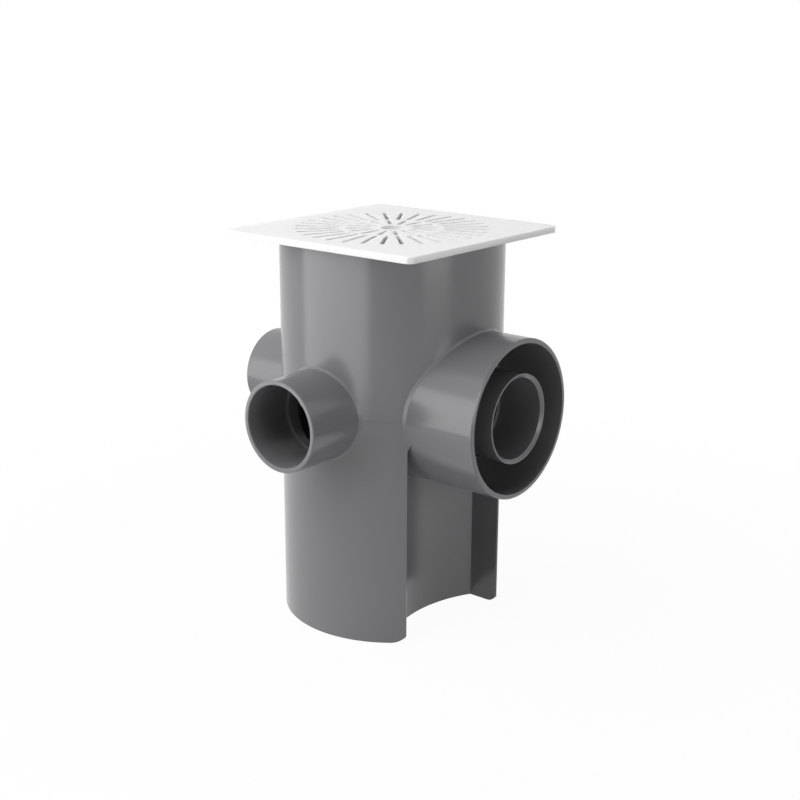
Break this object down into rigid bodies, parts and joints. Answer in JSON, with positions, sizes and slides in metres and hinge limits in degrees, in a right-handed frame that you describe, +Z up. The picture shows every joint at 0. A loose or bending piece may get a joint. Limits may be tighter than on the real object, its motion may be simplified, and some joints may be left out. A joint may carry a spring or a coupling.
{
  "type": "gully trap",
  "caption": "Round grey plastic gully trap with side inlets, a large outlet collar around a smaller outlet tube and a square white slotted grate.",
  "frame": {"origin": "on the chamber's axis at the underside of the floor", "axes": "+Z up along the chamber's axis, +X out of the outlet, -X and -Y out of the two inlets"},
  "size_m": [0.207, 0.181, 0.2525],
  "materials": {
    "grey_pvc": "semi-matt moulded",
    "grey_pvc_inner": "semi-matt moulded",
    "seal_rubber": "matt",
    "white_plastic": "satin"
  },
  "bodies": {
    "root": {"trap_body": "grey_pvc", "dip_elbow": "grey_pvc_inner", "elbow_seal": "seal_rubber", "grate": "white_plastic"}
  },
  "joints": []
}
